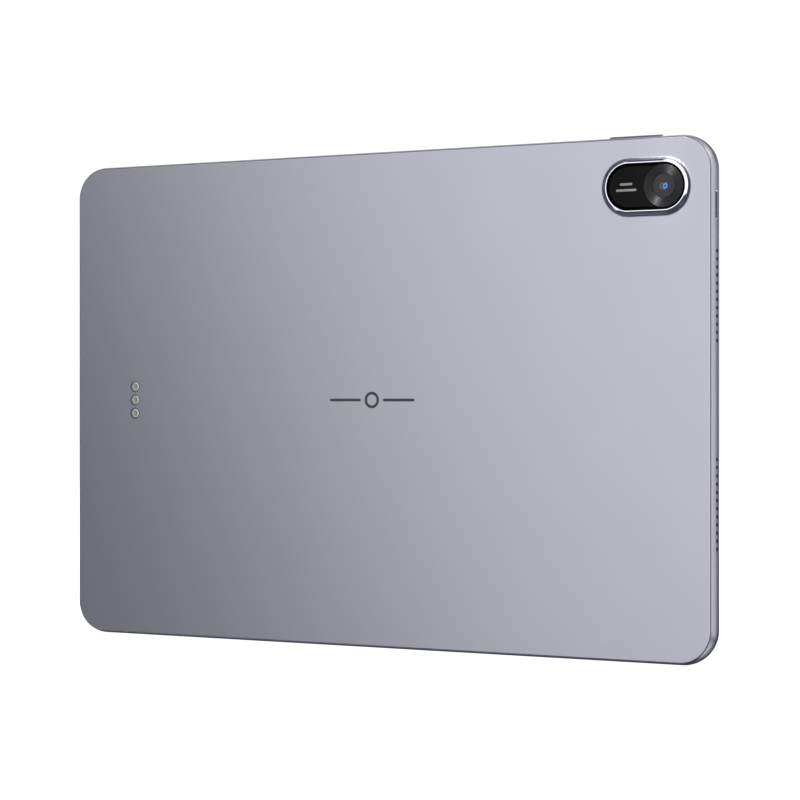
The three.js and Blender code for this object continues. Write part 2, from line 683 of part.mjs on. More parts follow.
function makeDisplay() {
  const panel = ({ inset, radius }) => roundedRect(bodyLength - 2 * inset, bodyHeight - 2 * inset, radius);
  const pane = roundedPrism(bodyOutline(glassInset), glassBack - beyond, screenFace, glass.edge);
  const underside = prism(bodyOutline(0), glassBack - 2 * beyond, glassBack);
  addPiece("cover_glass", cut(pane, underside), paints.blackGlass);

  const glue = ringPrism(
    glassInset + adhesive.margin,
    ledgeInner - adhesive.margin,
    adhesiveBack,
    adhesiveBack + adhesive.thickness,
  );
  addPiece("display_adhesive", glue, paints.tape);

  const frame = join(
    ringPrism(frameOuter, ledgeInner, ledgeBack, ledgeFront),
    ringPrism(frameOuter, frameOuter + frameLip, ledgeBack, rimLevel),
  );
  addPiece("display_frame", frame, paints.blackPlastic);

  const cell = prism(panel(lcd), lcdBack, lcdBack + lcd.thickness);
  const light = prism(panel(backlight), backlightBack, backlightBack + backlight.thickness);
  addPiece("lcd_panel", cell, paints.blackGlass);
  addPiece("backlight_unit", light, paints.whiteFilm);

  const sheetLength = batteryRight - batteryLeft + 2 * graphite.margin;
  const sheetHeight = batteryHeight + 2 * graphite.margin;
  const sheetX = (batteryRight + batteryLeft) / 2;
  const sheet = block(sheetLength, sheetHeight, graphiteBack, graphiteBack + graphite.thickness, sheetX, 0);
  addPiece("graphite_sheet", sheet, paints.graphiteSheet);
}

// Front camera and light sensor

function makeFrontSensors() {
  const bodyFront = backlightBack - seatGap;
  const front = glassBack - seatGap;
  const camera = join(
    block(frontCamera.side, frontCamera.side, bodyFront - frontCamera.depth, bodyFront, 0, frontSensorY),
    disc(frontCamera.barrel, bodyFront - layerGap, front, 0, frontSensorY),
  );
  addPiece("front_camera_module", camera, paints.blackPlastic);
  const back = front - lightSensor.thickness;
  const sensor = block(lightSensor.length, lightSensor.width, back, front, lightSensor.x, frontSensorY);
  addPiece("light_sensor", sensor, paints.chipBlack);
}

// Antennas inside the top wall, cover magnets inside the bottom wall

function makeWallPieces() {
  const wallInside = -sideWall - seatGap;
  const rows = [
    { kind: "antenna", size: antenna, out: sides.top, paint: paints.amberFilm },
    { kind: "cover_magnet", size: magnet, out: sides.bottom, paint: paints.magnetNickel },
  ];
  for (const { kind, size, out, paint } of rows) {
    for (const [end, sign] of [["left", 1], ["right", -1]]) {
      const bar = block(size.length, size.width, wallInside - size.depth, wallInside);
      addPiece(kind + "_" + end, bar, paint, edgePlace(out, sign * size.x));
    }
  }
}

makeHousing();
makeCamera();
makeKeys();
makeSpeakers();
makePort();
makeMicrophones();
makeContacts();
makeBoard();
makeBattery();
makeFlexes();
makeDisplay();
makeFrontSensors();
makeWallPieces();

export default tablet;
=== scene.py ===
import math

import bmesh
import bpy
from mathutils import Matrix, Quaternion, Vector


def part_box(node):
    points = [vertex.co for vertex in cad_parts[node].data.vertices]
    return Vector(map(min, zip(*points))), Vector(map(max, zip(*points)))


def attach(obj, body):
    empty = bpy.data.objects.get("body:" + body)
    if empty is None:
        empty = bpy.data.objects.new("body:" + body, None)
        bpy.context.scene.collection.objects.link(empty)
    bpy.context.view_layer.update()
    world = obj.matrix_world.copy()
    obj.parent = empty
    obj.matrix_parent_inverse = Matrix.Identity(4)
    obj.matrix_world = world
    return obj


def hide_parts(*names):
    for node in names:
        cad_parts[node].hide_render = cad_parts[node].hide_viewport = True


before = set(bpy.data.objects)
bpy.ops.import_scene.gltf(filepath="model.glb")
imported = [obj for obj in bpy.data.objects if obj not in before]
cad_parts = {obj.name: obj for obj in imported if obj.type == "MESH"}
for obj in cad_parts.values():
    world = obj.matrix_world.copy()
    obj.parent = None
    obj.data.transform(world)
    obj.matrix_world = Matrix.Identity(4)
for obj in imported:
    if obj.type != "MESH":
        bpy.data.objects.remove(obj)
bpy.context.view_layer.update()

mm = 0.001  # shapes below are worked out in millimetres and scaled once, when the mesh is made
weldGap = 0.0005  # points closer than this are one point
axisRadius = 0.0001  # a point on the axis of a turned piece is a ring this small, which is then welded
print("frame loaded:", len(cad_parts), "pieces")


# Places taken from the frame, in millimetres

def boxOf(node):
    low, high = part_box(node)
    return low / mm, high / mm


bodyLow, bodyHigh = boxOf("back_housing")
paneLow, paneHigh = boxOf("camera_window")
decoLow, decoHigh = boxOf("camera_deco_ring")
coverLow, coverHigh = boxOf("lens_cover")
powerLow, powerHigh = boxOf("power_key")
volumeLow, volumeHigh = boxOf("volume_key")
glassLow, glassHigh = boxOf("cover_glass")
lipLow, lipHigh = boxOf("display_frame")
shellLow, shellHigh = boxOf("usb_shell")
padLow, padHigh = boxOf("contact_pad_middle")

bodyLength = bodyHigh.x - bodyLow.x
bodyHeight = bodyHigh.z - bodyLow.z
backLevel = bodyHigh.y
rimLevel = bodyLow.y
middleX = (bodyLow.x + bodyHigh.x) / 2
middleZ = (bodyLow.z + bodyHigh.z) / 2
edgeY = (shellLow.y + shellHigh.y) / 2  # keys, holes and port share this line along the side walls
lensX = (decoLow.x + decoHigh.x) / 2
lensZ = (decoLow.z + decoHigh.z) / 2
bumpX = (paneLow.x + paneHigh.x) / 2
bumpZ = (paneLow.z + paneHigh.z) / 2
powerZ = (powerLow.z + powerHigh.z) / 2
volumeX = (volumeLow.x + volumeHigh.x) / 2
contactX = (padLow.x + padHigh.x) / 2
contactZ = (padLow.z + padHigh.z) / 2


# Flat outlines and the surfaces that they are laid on

def roundedOutline(length, width, radius, steps=12):
    points = []
    corners = ((1, 1), (-1, 1), (-1, -1), (1, -1))
    for quarter, (sideU, sideV) in enumerate(corners):
        for step in range(steps + 1):
            angle = math.radians(90 * (quarter + step / steps))
            u = sideU * (length / 2 - radius) + radius * math.cos(angle)
            v = sideV * (width / 2 - radius) + radius * math.sin(angle)
            points.append((u, v))
    return points


def stadiumOutline(length, width, steps=12):
    return roundedOutline(length, width, width / 2, steps)


def circleOutline(radius, steps=12):
    return roundedOutline(2 * radius, 2 * radius, radius, steps)


def onBack(x, z):
    return lambda u, v, level: (x + u, level, z + v)


def onCameraSide(z):
    return lambda u, v, proud: (bodyLow.x - proud, edgeY + v, z + u)


def onPortSide(z):
    return lambda u, v, proud: (bodyHigh.x + proud, edgeY + v, z + u)


def onTop(x):
    return lambda u, v, proud: (x + u, edgeY + v, bodyHigh.z + proud)


def layRings(outline, profile, place):
    # one ring of points for each (inset, level) of the profile
    return [[place(u, v, level) for u, v in outline(inset)] for inset, level in profile]


def addObject(name, data):
    item = bpy.data.objects.new(name, data)
    bpy.context.scene.collection.objects.link(item)
    return item


def loft(name, rings, looped=False, bands=None):
    # skins the rings into one closed solid; bands gives a row of faces another material slot
    shape = bmesh.new()
    rows = [[shape.verts.new(Vector(point) * mm) for point in ring] for ring in rings]
    following = rows[1:] + (rows[:1] if looped else [])
    for row, (near, far) in enumerate(zip(rows, following)):
        for i in range(len(near)):
            j = (i + 1) % len(near)
            face = shape.faces.new((near[i], near[j], far[j], far[i]))
            face.material_index = (bands or {}).get(row, 0)
    if not looped:
        shape.faces.new(rows[0]).material_index = (bands or {}).get("first", 0)
        shape.faces.new(rows[-1]).material_index = (bands or {}).get("last", 0)
    bmesh.ops.remove_doubles(shape, verts=shape.verts, dist=weldGap * mm)
    bmesh.ops.recalc_face_normals(shape, faces=shape.faces)
    mesh = bpy.data.meshes.new(name)
    shape.to_mesh(mesh)
    shape.free()
    return addObject(name, mesh)


def settle(piece):
    # the evaluated mesh becomes the piece's own, and the modifiers go
    bpy.context.view_layer.update()
    graph = bpy.context.evaluated_depsgraph_get()
    mesh = bpy.data.meshes.new_from_object(
        piece.evaluated_get(graph), preserve_all_data_layers=True, depsgraph=graph
    )
    piece.modifiers.clear()
    piece.data = mesh
    return piece


def joined(name, pieces):
    # several closed shapes in one object, with their material slots kept by number
    shape = bmesh.new()
    for piece in pieces:
        shape.from_mesh(piece.data)
    mesh = bpy.data.meshes.new(name)
    shape.to_mesh(mesh)
    shape.free()
    for piece in pieces:
        bpy.data.objects.remove(piece)
    return addObject(name, mesh)


def carve(piece, cutter):
    cut = piece.modifiers.new("cut", "BOOLEAN")
    cut.operation = "DIFFERENCE"
    cut.solver = "EXACT"
    cut.object = cutter
    settle(piece)
    bpy.data.objects.remove(cutter)
    return piece


def dress(piece, materials, sharpAngle=35):
    # materials in their slots, soft shading with true corners, flat faces kept flat
    numbers = [polygon.material_index for polygon in piece.data.polygons]
    piece.data.materials.clear()
    for material in materials:
        piece.data.materials.append(material)
    piece.data.polygons.foreach_set("material_index", [min(n, len(materials) - 1) for n in numbers])
    piece.data.shade_smooth()
    piece.data.set_sharp_from_angle(angle=math.radians(sharpAngle))
    weigh = piece.modifiers.new("weigh", "WEIGHTED_NORMAL")
    weigh.keep_sharp = True
    weigh.weight = 90
    return settle(piece)


def fit(piece, body, slot, *nodes):
    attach(piece, body)
    if nodes:
        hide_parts(*nodes)
    return piece


# Material tools

def toLinear(hexColour):
    parts = [int(hexColour[i:i + 2], 16) / 255 for i in (1, 3, 5)]
    return tuple(p / 12.92 if p <= 0.04045 else ((p + 0.055) / 1.055) ** 2.4 for p in parts) + (1.0,)


def addNode(tree, kind, settings=None, inputs=None):
    node = tree.nodes.new(kind)
    for name, value in (settings or {}).items():
        setattr(node, name, value)
    for name, value in (inputs or {}).items():
        if isinstance(value, bpy.types.NodeSocket):
            tree.links.new(value, node.inputs[name])
        else:
            node.inputs[name].default_value = value
    return node


def calculate(tree, operation, *values):
    return addNode(tree, "ShaderNodeMath", {"operation": operation}, dict(enumerate(values))).outputs[0]


def mixColours(tree, factor, first, second):
    mixed = addNode(tree, "ShaderNodeMix", {"data_type": "RGBA"}, {0: factor, 6: first, 7: second})
    return mixed.outputs[2]


def noiseAt(tree, place, sizeMm, detail):
    noise = addNode(tree, "ShaderNodeTexNoise", None, {
        "Vector": place, "Scale": 1 / (sizeMm * mm), "Detail": detail,
    })
    return noise.outputs["Fac"]


def spread(tree, factor, low, high):
    reach = addNode(tree, "ShaderNodeMapRange", None, {"Value": factor, "To Min": low, "To Max": high})
    return reach.outputs["Result"]


def startMaterial(name, shaderInputs):
    material = bpy.data.materials.new(name)
    material.use_nodes = True
    tree = material.node_tree
    shader = tree.nodes["Principled BSDF"]
    for socket, value in shaderInputs.items():
        shader.inputs[socket].default_value = value
    place = addNode(tree, "ShaderNodeTexCoord").outputs["Object"]
    return material, tree, shader, place


def grainedFinish(name, look, shaderInputs=None):
    # two tones that drift into each other, grain in the roughness, and a fine relief
    # drift and grain are sizes in millimetres
    material, tree, shader, place = startMaterial(name, shaderInputs or {})
    drift = noiseAt(tree, place, look["drift"], detail=2.0)
    grain = noiseAt(tree, place, look["grain"], detail=3.0)
    dark, pale = look["tones"]
    relief = addNode(tree, "ShaderNodeBump", None, {
        "Height": grain, "Strength": look["relief"], "Distance": look["grain"] * mm,
    })
    tree.links.new(mixColours(tree, drift, toLinear(dark), toLinear(pale)), shader.inputs["Base Color"])
    tree.links.new(spread(tree, grain, *look["roughness"]), shader.inputs["Roughness"])
    tree.links.new(relief.outputs["Normal"], shader.inputs["Normal"])
    return material


# The housing's finishes

# 6000-series aluminium, bead-blasted and dyed lavender grey: satin, with an even fine grit.
# The real grit is about 0.05 mm; it is drawn at 0.6 mm, as coarse as it needs to show.
anodisedAluminium = grainedFinish("anodised_aluminium", {
    "tones": ("#b3b4bc", "#b6b7bf"), "drift": 24, "grain": 0.6, "roughness": (0.31, 0.345), "relief": 0.012,
}, {"Metallic": 1.0})

# The same metal cut with a diamond tool after anodising: a bright bare edge with hardly any texture
diamondCutAluminium = grainedFinish("diamond_cut_aluminium", {
    "tones": ("#ececf0", "#f0f0f4"), "drift": 6, "grain": 0.2, "roughness": (0.08, 0.12), "relief": 0.004,
}, {"Metallic": 1.0})

# Pad-printed ink on the blasted metal: a dark flat grey that takes the grit under it
printedInk = grainedFinish("printed_ink", {
    "tones": ("#3f3f43", "#434347"), "drift": 3, "grain": 0.3, "roughness": (0.45, 0.55), "relief": 0.02,
})
print("housing finishes made")


# Back housing: a milled tray whose side walls are slightly crowned, with a tight round at the back

housing = {
    "cornerRadius": 12.0, "crownRadius": 9.0, "crownY": -0.425, "backRound": 0.55, "frontRound": 0.45,
    "rimWall": 1.0, "sideWall": 2.2, "shelfY": -1.825, "floorY": 2.575,
    "backSteps": 7, "crownSteps": 12, "frontSteps": 5, "cornerSteps": 28,
}
# Painted shade in the sound bores: they are dark from their depth, so their walls get a dead matt black and
# each hole reads as a black dot
boreShade = grainedFinish("painted_bore_shade", {
    "tones": ("#040405", "#070708"), "drift": 2, "grain": 0.2, "roughness": (0.7, 0.8), "relief": 0.0,
}, {"Specular IOR Level": 0.1})

speakerHoles = {"radius": 0.7, "sides": 24, "pitch": 2.7, "count": 12, "depth": 6.0, "fromMiddle": 34.58}
openings = {
    "slotGap": 0.08, "holeGap": 0.05, "bumpLength": 32.46, "bumpWidth": 19.56, "bumpSteps": 24,
    "portLength": 8.94, "portWidth": 2.9,
    "microphoneRadius": 0.5, "microphoneSteps": 6, "topMicrophoneX": -84.0, "sideMicrophoneZ": 150.41,
    # from inside the wall to outside it, and from the middle of the case out through the back
    "throughWall": (-4, 2), "throughBack": (0, 9),
}
keySizes = {"width": 2.2, "powerLength": 9.95, "volumeLength": 20.1}
collar = {"radius": 2.05, "pitch": 5.0}


def bodyOutline(inset):
    radius = housing["cornerRadius"] - inset
    return roundedOutline(bodyLength - 2 * inset, bodyHeight - 2 * inset, radius, housing["cornerSteps"])


def wallProfile():
    # from the edge of the back flat, round and down the crowned wall, to the rim beside the glass
    crown, crownY = housing["crownRadius"], housing["crownY"]
    profile = []
    back, front = housing["backRound"], housing["frontRound"]
    backTilt = math.asin((backLevel - back - crownY) / (crown - back))
    frontTilt = -math.asin((crownY - rimLevel - front) / (crown - front))
    right = math.pi / 2
    arcs = (
        (back, backLevel - back, backTilt, right, backTilt, housing["backSteps"]),
        (crown, crownY, backTilt, backTilt, frontTilt, housing["crownSteps"]),
        (front, rimLevel + front, frontTilt, frontTilt, -right, housing["frontSteps"]),
    )
    for radius, centreY, meet, start, end, steps in arcs:
        centreInset = crown - (crown - radius) * math.cos(meet)
        for step in range(steps + 1):
            tilt = start + (end - start) * step / steps
            point = (centreInset - radius * math.cos(tilt), centreY + radius * math.sin(tilt))
            if not profile or math.dist(point, profile[-1]) > 2 * weldGap:
                profile.append(point)
    return profile


def rowTree(name, partKind, fixedSizes, sizeInputs):
    # a straight row of one part: count, pitch, the part's sizes and its material are the tree's inputs
    tree = bpy.data.node_groups.new(name, "GeometryNodeTree")
    for inputName, kind in (("Count", "Int"), ("Pitch", "Float")) + sizeInputs + (("Material", "Material"),):
        tree.interface.new_socket(inputName, in_out="INPUT", socket_type="NodeSocket" + kind)
    tree.interface.new_socket("Geometry", in_out="OUTPUT", socket_type="NodeSocketGeometry")
    given = addNode(tree, "NodeGroupInput").outputs
    offset = addNode(tree, "ShaderNodeCombineXYZ", None, {"X": given["Pitch"]})
    line = addNode(tree, "GeometryNodeMeshLine", None, {"Count": given["Count"], "Offset": offset.outputs[0]})
    sizes = {inputName: given[inputName] for inputName, kind in sizeInputs}
    part = addNode(tree, partKind, None, {**fixedSizes, **sizes})
    row = addNode(tree, "GeometryNodeInstanceOnPoints", None, {
        "Points": line.outputs["Mesh"], "Instance": part.outputs["Mesh"],
    })
    real = addNode(tree, "GeometryNodeRealizeInstances", None, {"Geometry": row.outputs["Instances"]})
    dressed = addNode(tree, "GeometryNodeSetMaterial", None, {
        "Geometry": real.outputs["Geometry"], "Material": given["Material"],
    })
    addNode(tree, "NodeGroupOutput", None, {"Geometry": dressed.outputs["Geometry"]})
    return tree


def grow(name, tree, values):
    # runs a node tree on an empty mesh with its inputs set, and keeps the result as a plain mesh
    piece = addObject(name, bpy.data.meshes.new(name))
    modifier = piece.modifiers.new("grow", "NODES")
    modifier.node_group = tree
    for item in tree.interface.items_tree:
        if item.in_out == "INPUT" and item.name in values:
            modifier[item.identifier] = values[item.name]
    return settle(piece)


def growRow(name, tree, values, place):
    # the row is centred on its place and takes the second material slot of the piece that it joins
    row = grow(name, tree, values)
    half = (values["Count"] - 1) * values["Pitch"] / 2
    for vertex in row.data.vertices:
        x, y, z = vertex.co
        vertex.co = Vector(place(x - half, y, z)) * mm
    for polygon in row.data.polygons:
        polygon.material_index = 1
    return row


drillTree = rowTree(
    "drill_row", "GeometryNodeMeshCylinder", {"Vertices": speakerHoles["sides"]},
    (("Radius", "Float"), ("Depth", "Float")),
)


def punch(name, outline, place, low, high):
    return loft(name, [[place(u, v, level) for u, v in outline] for level in (low, high)])


def facingOut(piece):
    shape = bmesh.new()
    shape.from_mesh(piece.data)
    bmesh.ops.recalc_face_normals(shape, faces=shape.faces)
    shape.to_mesh(piece.data)
    shape.free()
    return piece


def makeHousing():
    profile = wallProfile()
    profile += [
        (housing["rimWall"], rimLevel), (housing["rimWall"], housing["shelfY"]),
        (housing["sideWall"], housing["shelfY"]), (housing["sideWall"], housing["floorY"]),
    ]
    tray = loft("housing", layRings(bodyOutline, profile, onBack(middleX, middleZ)))
    slotRoom, holeGap = 2 * openings["slotGap"], openings["holeGap"]
    bump = stadiumOutline(
        openings["bumpLength"] + 2 * holeGap, openings["bumpWidth"] + 2 * holeGap, openings["bumpSteps"]
    )
    powerSlot = stadiumOutline(keySizes["powerLength"] + slotRoom, keySizes["width"] + slotRoom)
    volumeSlot = stadiumOutline(keySizes["volumeLength"] + slotRoom, keySizes["width"] + slotRoom)
    portMouth = stadiumOutline(openings["portLength"], openings["portWidth"])
    microphone = circleOutline(openings["microphoneRadius"], openings["microphoneSteps"])
    contactHole = circleOutline(collar["radius"] + holeGap)
    throughWall, throughBack = openings["throughWall"], openings["throughBack"]
    cutters = [
        punch("bump_hole", bump, onBack(bumpX, bumpZ), *throughBack),
        punch("power_slot", powerSlot, onCameraSide(powerZ), *throughWall),
        punch("volume_slot", volumeSlot, onTop(volumeX), *throughWall),
        punch("port_mouth", portMouth, onPortSide(middleZ), *throughWall),
        punch("top_mic", microphone, onTop(openings["topMicrophoneX"]), *throughWall),
        punch("side_mic", microphone, onPortSide(openings["sideMicrophoneZ"]), *throughWall),
    ]
    for step in (-1, 0, 1):
        z = contactZ + step * collar["pitch"]
        cutters.append(punch("contact_hole", contactHole, onBack(contactX, z), *throughBack))
    # the drills carry the painted bore shade onto the walls of the holes
    drills = {
        "Count": speakerHoles["count"], "Pitch": speakerHoles["pitch"], "Radius": speakerHoles["radius"],
        "Depth": speakerHoles["depth"], "Material": boreShade,
    }
    for side in (-1, 1):
        z = middleZ + side * speakerHoles["fromMiddle"]
        cutters.append(growRow("camera_side_holes", drillTree, drills, onCameraSide(z)))
        cutters.append(growRow("port_side_holes", drillTree, drills, onPortSide(z)))
    cutter = facingOut(joined("cutters", cutters))
    for mesh in (tray.data, cutter.data):
        mesh.materials.append(anodisedAluminium)
        mesh.materials.append(boreShade)
    carve(tray, cutter)
    dress(tray, [anodisedAluminium, boreShade])
    return fit(tray, "tablet_body", "anodised_housing", "back_housing")


makeHousing()
print("housing made")


# Camera glass, spun ring and lens finishes

# Float glass backed with black ink and given an anti-reflection coat: a soft near-black with weak gloss
backedGlass = grainedFinish("black_backed_glass", {
    "tones": ("#0a0a0b", "#0e0e0f"), "drift": 9, "grain": 4, "roughness": (0.04, 0.06), "relief": 0.0,
}, {"IOR": 1.5, "Specular IOR Level": 0.07})

# The ground edge of that glass: the ink shows through it as a deeper black
groundGlass = grainedFinish("ground_glass_edge", {
    "tones": ("#010101", "#020202"), "drift": 3, "grain": 1, "roughness": (0.12, 0.18), "relief": 0.0,
}, {"IOR": 1.5, "Specular IOR Level": 0.01})

# White screen print on that glass
screenPrint = grainedFinish("screen_print", {
    "tones": ("#98989a", "#a2a2a4"), "drift": 2, "grain": 0.3, "roughness": (0.4, 0.5), "relief": 0.0,
})

# Aluminium turned on a lathe and anodised black: the turning marks spread a light outwards into two fans.
# The marks are finer than the render can show, so the shader's anisotropy stands for them.
spunLook = {
    "tones": ("#3b3b3c", "#414142"), "drift": 3, "grain": 0.4, "roughness": (0.5, 0.56), "relief": 0.0,
    "anisotropy": 0.9, "quarterTurn": 0.25,
}


def spunAluminium():
    material = grainedFinish("spun_black_aluminium", spunLook, {
        "Metallic": 1.0, "Anisotropic": spunLook["anisotropy"],
        "Anisotropic Rotation": spunLook["quarterTurn"],
    })
    tree = material.node_tree
    around = addNode(tree, "ShaderNodeTangent", {"direction_type": "RADIAL", "axis": "Y"})
    tree.links.new(around.outputs["Tangent"], tree.nodes["Principled BSDF"].inputs["Tangent"])
    return material


blackTurned = spunAluminium()

# Black ink printed under the lens cover, round the clear opening
lensMask = grainedFinish("lens_mask_ink", {
    "tones": ("#262627", "#29292a"), "drift": 2, "grain": 0.5, "roughness": (0.10, 0.14), "relief": 0.0,
}, {"Specular IOR Level": 0.15})

# Moulded black polycarbonate of the barrel, with a fine matt grain against stray light
mouldedBlack = grainedFinish("moulded_polycarbonate", {
    "tones": ("#141415", "#19191b"), "drift": 2, "grain": 0.15, "roughness": (0.42, 0.6), "relief": 0.08,
})

# The barrel's nose, cut in steps and blackened so that it throws no light at the glass
blackenedNose = grainedFinish("blackened_nose", {
    "tones": ("#0b0b0c", "#0e0e10"), "drift": 2, "grain": 0.3, "roughness": (0.35, 0.42), "relief": 0.0,
}, {"Specular IOR Level": 0.15})


def clearCover():
    # sapphire-hard clear glass, polished and coated: seen only where it catches a light
    material, tree, shader, place = startMaterial("coated_clear_glass", {
        "Base Color": toLinear("#f4f6fa"), "Transmission Weight": 1.0, "IOR": 1.45, "Specular IOR Level": 0.2,
    })
    smudge = noiseAt(tree, place, sizeMm=1.5, detail=2.0)
    tree.links.new(spread(tree, smudge, low=0.0, high=0.02), shader.inputs["Roughness"])
    return material


lensTintsAndPupilShade = {
    # the black middle is painted shade, the dark inside of the lens; outwards the coating thickens, so its
    # tint turns through cyan to blue: radius and colour
    "tints": ((0.35, "#040406"), (0.6, "#2aa9cf"), (0.95, "#2540d8"), (1.25, "#101736"), (1.4, "#4b5b68")),
}


def coatedElement():
    # magnesium fluoride coating on a polished front element; its pupil is painted black, painted shade for
    # the dark inside of the lens
    material, tree, shader, place = startMaterial("coated_front_element", {
        "Metallic": 0.9, "Roughness": 0.22,
    })
    flat = addNode(tree, "ShaderNodeVectorMath", {"operation": "MULTIPLY"}, {0: place, 1: (1, 0, 1)})
    away = addNode(tree, "ShaderNodeVectorMath", {"operation": "DISTANCE"}, {
        0: flat.outputs[0], 1: Vector((lensX, 0, lensZ)) * mm,
    })
    colour = None
    for (innerRadius, innerTint), (radius, tint) in zip(lensTintsAndPupilShade["tints"], lensTintsAndPupilShade["tints"][1:]):
        blend = addNode(tree, "ShaderNodeMapRange", {"interpolation_type": "SMOOTHSTEP"}, {
            "Value": away.outputs["Value"], "From Min": innerRadius * mm, "From Max": radius * mm,
        })
        colour = mixColours(tree, blend.outputs["Result"], colour or toLinear(innerTint), toLinear(tint))
    tree.links.new(colour, shader.inputs["Base Color"])
    return material


clearGlass = clearCover()
coatedLens = coatedElement()

# Rear camera: a raised ring, a window of black glass, a spun ring, and the lens behind its cover

camera = {
    "paneLength": 28.3, "paneWidth": 15.4, "steps": 32,
    # outset from the glass, and height above the back
    "ringProfile": (
        (2.08, -0.8), (2.08, 0.004), (2.5, 0.004), (2.38, 0.014), (2.24, 0.04), (2.1, 0.085), (1.95, 0.155),
        (1.8, 0.25), (1.66, 0.37), (1.52, 0.52), (1.38, 0.7), (1.26, 0.87), (1.2, 0.95), (1.16, 1.0),
        (0.58, 1.33), (0.54, 1.345), (0.28, 1.36), (0.22, 1.32), (0.2, -0.8),
    ),
    "polishedRows": range(12, 17),  # steps of that profile that the cutter leaves bright
    # inset from the edge of the glass, and height above the back
    "paneProfile": ((0, 0.4), (0, 0.98), (0.06, 1.05), (0.2, 1.09), (0.45, 1.1), (0.9, 1.1)),
    # radius, and height above the back
    "decoProfile": (
        (6.5, 0.16), (7.15, 0.45), (7.15, 1.05), (7.1, 1.1), (6.98, 1.09), (4.28, 0.82), (4.18, 0.78),
        (4.15, 0.72), (4.15, 0.5), (3.4, 0.5), (3.4, 0.16),
    ),
    "decoBore": 7.25, "decoSteps": 24, "lensSteps": 20,
    "lensOpening": 1.5, "coverBreak": 0.05,
    "barrelProfile": (
        (0.0, -0.3), (0.5, -0.315), (1.0, -0.37), (1.42, -0.46), (1.5, -0.42), (1.6, -0.34), (2.1, -0.06),
        (2.3, 0.0), (2.4, -0.06), (2.4, -0.75), (3.2, -0.75), (3.2, -3.04), (0.0, -3.04),
    ),
    "elementRows": range(0, 3),  # steps of that profile that are the front element
    # length, width, and height over the lens's middle
    "barSizes": ((4.6, 0.8, 0.95), (7.4, 0.8, -1.05)),
    "barX": -99.6, "barSteps": 6,
}
printFoot, printTop = 0.002, 0.012  # ink, as heights above the surface that it is printed on


def paneOutline(inset):
    return stadiumOutline(camera["paneLength"] - 2 * inset, camera["paneWidth"] - 2 * inset, camera["steps"])


def makeCameraRing():
    profile = [(-outset, backLevel + height) for outset, height in camera["ringProfile"]]
    bands = {row: 1 for row in camera["polishedRows"]}
    ring = loft("camera_ring", layRings(paneOutline, profile, onBack(bumpX, bumpZ)), looped=True, bands=bands)
    dress(ring, [anodisedAluminium, diamondCutAluminium], sharpAngle=13)
    return fit(ring, "tablet_body", "anodised_housing", "camera_bezel_ring")


def makeCameraPane():
    profile = [(inset, backLevel + height) for inset, height in camera["paneProfile"]]
    bands = {row: 1 for row in range(len(profile) - 1)}
    pane = loft("camera_glass_pane", layRings(paneOutline, profile, onBack(bumpX, bumpZ)), bands=bands)
    bore = circleOutline(camera["decoBore"], camera["decoSteps"])
    carve(pane, punch("deco_bore", bore, onBack(lensX, lensZ), *openings["throughBack"]))
    dress(pane, [backedGlass, groundGlass], sharpAngle=40)
    return fit(pane, "tablet_body", "camera_glass", "camera_window")


def turned(name, profile, x, z, steps, looped=False, bands=None):
    rings = [
        [onBack(x, z)(u, v, backLevel + height) for u, v in circleOutline(max(radius, axisRadius), steps)]
        for radius, height in profile
    ]
    return loft(name, rings, looped, bands)


def makeDecoRing():
    ring = turned("spun_deco_ring", camera["decoProfile"], lensX, lensZ, camera["decoSteps"], looped=True)
    dress(ring, [blackTurned], sharpAngle=30)
    return fit(ring, "tablet_body", "spun_metal", "camera_deco_ring")


def makeLensCover():
    low, high = coverLow.y - backLevel, coverHigh.y - backLevel
    radius = (coverHigh.x - coverLow.x) / 2
    opening, edge = camera["lensOpening"], camera["coverBreak"]
    profile = (
        (0, low), (opening, low), (radius, low), (radius, high - edge), (radius - edge, high),
        (opening, high), (0, high),
    )
    masked = {row: 1 for row in range(1, 5)}  # every step but the clear middle of each face
    cover = turned("lens_cover_glass", profile, lensX, lensZ, camera["lensSteps"], bands=masked)
    dress(cover, [clearGlass, lensMask], sharpAngle=30)
    return fit(cover, "tablet_body", "coated_lens", "lens_cover")


def makeBarrel():
    bands = {row: 1 for row in camera["elementRows"]}
    bands["first"] = 1
    barrel = turned("lens_barrel", camera["barrelProfile"], lensX, lensZ, camera["lensSteps"], bands=bands)
    dress(barrel, [blackenedNose, coatedLens], sharpAngle=28)
    return fit(barrel, "rear_lens", "black_plastic", "rear_lens_barrel")


def makeCameraBars():
    # two plain bars of screen print on the glass beside the lens
    paneTop = backLevel + camera["paneProfile"][-1][1]
    for number, (length, width, aboveLens) in enumerate(camera["barSizes"]):
        place = onBack(camera["barX"], lensZ + aboveLens)
        outline = stadiumOutline(length, width, camera["barSteps"])
        bar = punch(f"print_bar_{number + 1}", outline, place, paneTop + printFoot, paneTop + printTop)
        fit(dress(bar, [screenPrint]), "tablet_body", "camera_glass")


makeCameraRing()
makeCameraPane()
makeDecoRing()
makeLensCover()
makeBarrel()
makeCameraBars()
print("camera made")


# Keys: blasted caps with a bright cut edge, each on its own body

# levels are from the wall's face, outwards
keys = {
    "capFoot": -2.45, "slopeFoot": -0.1, "slope": 0.95, "crest": 0.08, "crestDrop": 0.04, "steps": 10,
    "flangeFoot": -3.0, "flangeReach": 0.8, "flangeSide": 0.1, "flangeRound": 0.3,
}


def brightenEnds(key, place, reach):
    # only the turned ends of a cap, past the wall's face, are left bright by the cutter
    middle = Vector(place(0, 0, 0))
    along = Vector(place(1, 0, 0)) - middle
    outward = Vector(place(0, 0, 1)) - middle
    for polygon in key.data.polygons:
        offset = polygon.center / mm - middle
        polygon.material_index = int(abs(offset.dot(along)) > reach and offset.dot(outward) > 0)


